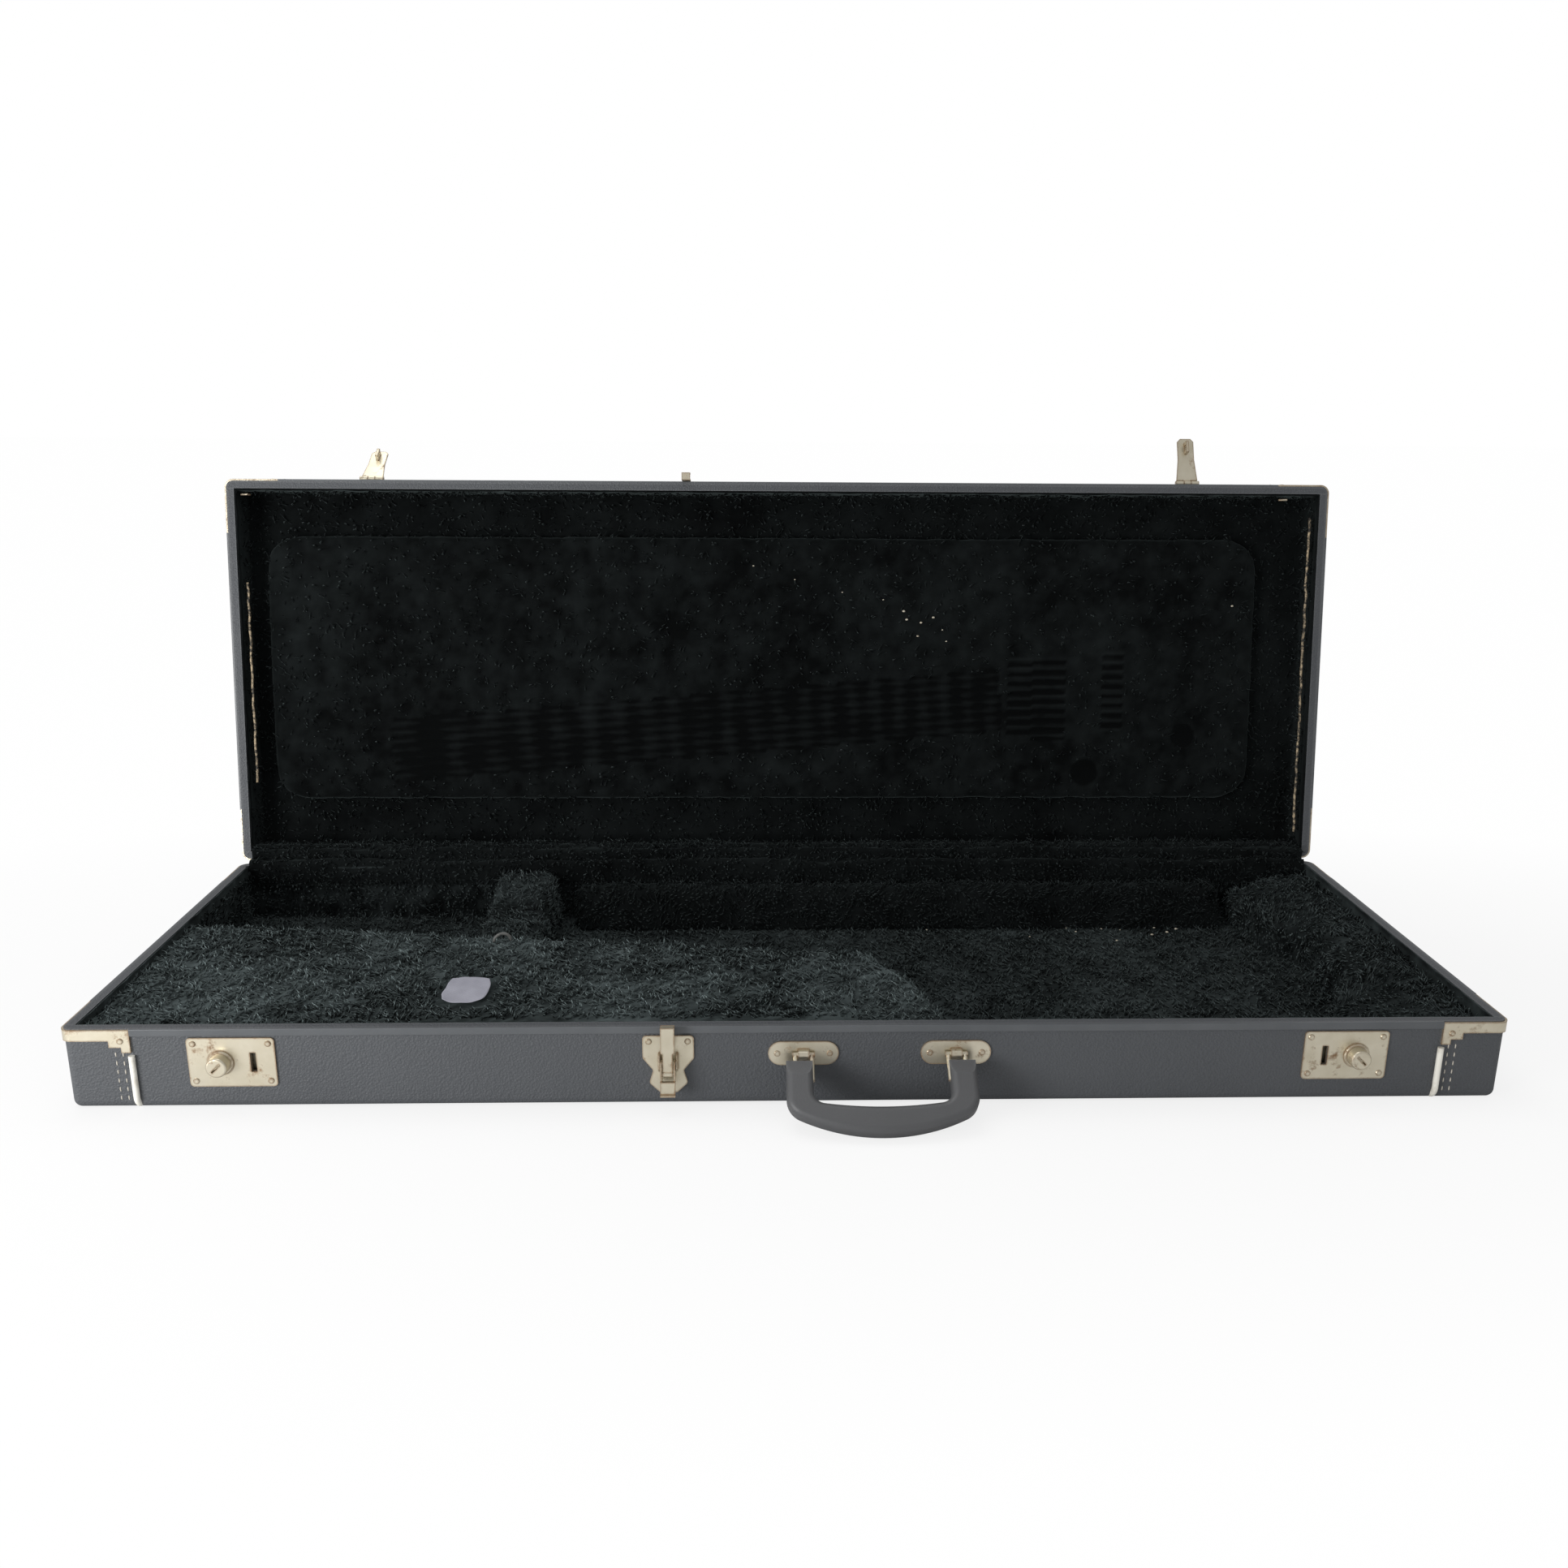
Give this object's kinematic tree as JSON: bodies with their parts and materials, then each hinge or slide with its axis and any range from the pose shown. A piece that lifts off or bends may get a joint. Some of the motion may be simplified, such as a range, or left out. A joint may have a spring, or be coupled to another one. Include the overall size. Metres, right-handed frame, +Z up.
{
  "type": "electric guitar case",
  "caption": "Rectangular hard case for an electric guitar: vinyl-covered plywood tray and hinged lid, plush lining, key locks, draw latch and folding handle.",
  "frame": {"origin": "middle of the base's flat underside", "axes": "+X to the right along the case, +Y from the handle side to the hinge side, +Z up out of the tray"},
  "size_m": [1.045, 0.5172, 0.4635],
  "materials": {
    "board": "bare plywood",
    "vinyl": "black pebble-grained vinyl",
    "bead": "black extruded vinyl beading",
    "piping": "white vinyl piping",
    "plush": "black long-pile plush",
    "nickel": "nickel plate, yellowed and rust-flecked at the edges",
    "handle": "black moulded handle",
    "label": "plain pale woven patch",
    "cord": "grey pull cord"
  },
  "bodies": {
    "base": {"base_front_board": "board", "base_back_board": "board", "base_end_boards": "board", "base_bottom_panel": "board", "base_vinyl": "vinyl", "base_underside": "vinyl", "base_left_end_cap": "vinyl", "base_right_end_cap": "vinyl", "base_piping": "piping", "base_rim_bead": "bead", "base_corner_clips": "nickel", "base_rivets": "nickel", "base_lining": "plush", "floor_pad": "plush", "neck_block": "plush", "neck_rest": "plush", "back_pad": "plush", "front_pad": "plush", "end_pad": "plush", "hinge_gusset": "plush", "pocket_pin": "nickel", "left_lock_plate": "nickel", "right_lock_plate": "nickel", "left_lock_case": "nickel", "right_lock_case": "nickel", "latch_plate": "nickel", "latch_pin": "nickel", "handle_brackets": "nickel", "hinge_base_leaves": "nickel", "hinge_pins": "nickel", "feet": "nickel"},
    "lid": {"lid_front_board": "board", "lid_back_board": "board", "lid_end_boards": "board", "lid_top_panel": "board", "lid_vinyl": "vinyl", "lid_left_end_cap": "vinyl", "lid_right_end_cap": "vinyl", "lid_piping": "piping", "lid_rim_bead": "bead", "lid_corner_clips": "nickel", "lid_lining": "plush", "lid_pad": "plush", "lid_rivets": "nickel", "hinge_lid_leaves": "nickel", "latch_catch": "nickel", "hasp_plates": "nickel", "hasp_pins": "nickel"},
    "handle": {"handle_grip": "handle", "handle_loops": "nickel"},
    "left_hasp": {"left_hasp": "nickel"},
    "right_hasp": {"right_hasp": "nickel"},
    "left_lock": {"left_lock_cylinder": "nickel"},
    "right_lock": {"right_lock_cylinder": "nickel"},
    "latch_lever": {"latch_lever": "nickel", "claw_pin": "nickel"},
    "latch_claw": {"latch_claw": "nickel"},
    "pocket_lid": {"pocket_lid": "plush", "pull_loop": "cord", "label_patch": "label"}
  },
  "joints": [
    {"name": "lid_hinge", "type": "hinge", "parent": "base", "child": "lid", "pos_m": [0, 0.1824, 0.0632], "axis": [1, 0, 0], "range_deg": [0, 98.4]},
    {"name": "handle_swing", "type": "hinge", "parent": "base", "child": "handle", "pos_m": [0.0611, -0.18235, 0.0412], "axis": [-1, 0, 0], "range_deg": [0, 95]},
    {"name": "left_hasp_hinge", "type": "hinge", "parent": "lid", "child": "left_hasp", "pos_m": [-0.3868, 0.24384, 0.42248], "axis": [1, 0, 0], "range_deg": [-25, 140]},
    {"name": "right_hasp_hinge", "type": "hinge", "parent": "lid", "child": "right_hasp", "pos_m": [0.3868, 0.24384, 0.42248], "axis": [1, 0, 0], "range_deg": [-60, 105]},
    {"name": "left_lock_turn", "type": "hinge", "parent": "base", "child": "left_lock", "pos_m": [-0.41, -0.179, 0.0369], "axis": [0, -1, 0], "range_deg": [0, 90]},
    {"name": "right_lock_turn", "type": "hinge", "parent": "base", "child": "right_lock", "pos_m": [0.41, -0.179, 0.0369], "axis": [0, 1, 0], "range_deg": [0, 90]},
    {"name": "latch_lever_throw", "type": "hinge", "parent": "base", "child": "latch_lever", "pos_m": [-0.0914, -0.1845, 0.036], "axis": [1, 0, 0], "range_deg": [-110, 0]},
    {"name": "latch_claw_swing", "type": "hinge", "parent": "latch_lever", "child": "latch_claw", "pos_m": [-0.0914, -0.18925, 0.03], "axis": [1, 0, 0], "range_deg": [0, 135]},
    {"name": "pocket_lid_hinge", "type": "hinge", "parent": "base", "child": "pocket_lid", "pos_m": [0, -0.16815, 0.05615], "axis": [-1, 0, 0], "range_deg": [-85, 0]}
  ],
  "couplings": [
    {"joint": "latch_claw_swing", "follows": "latch_lever_throw", "ratio": -1.2}
  ]
}
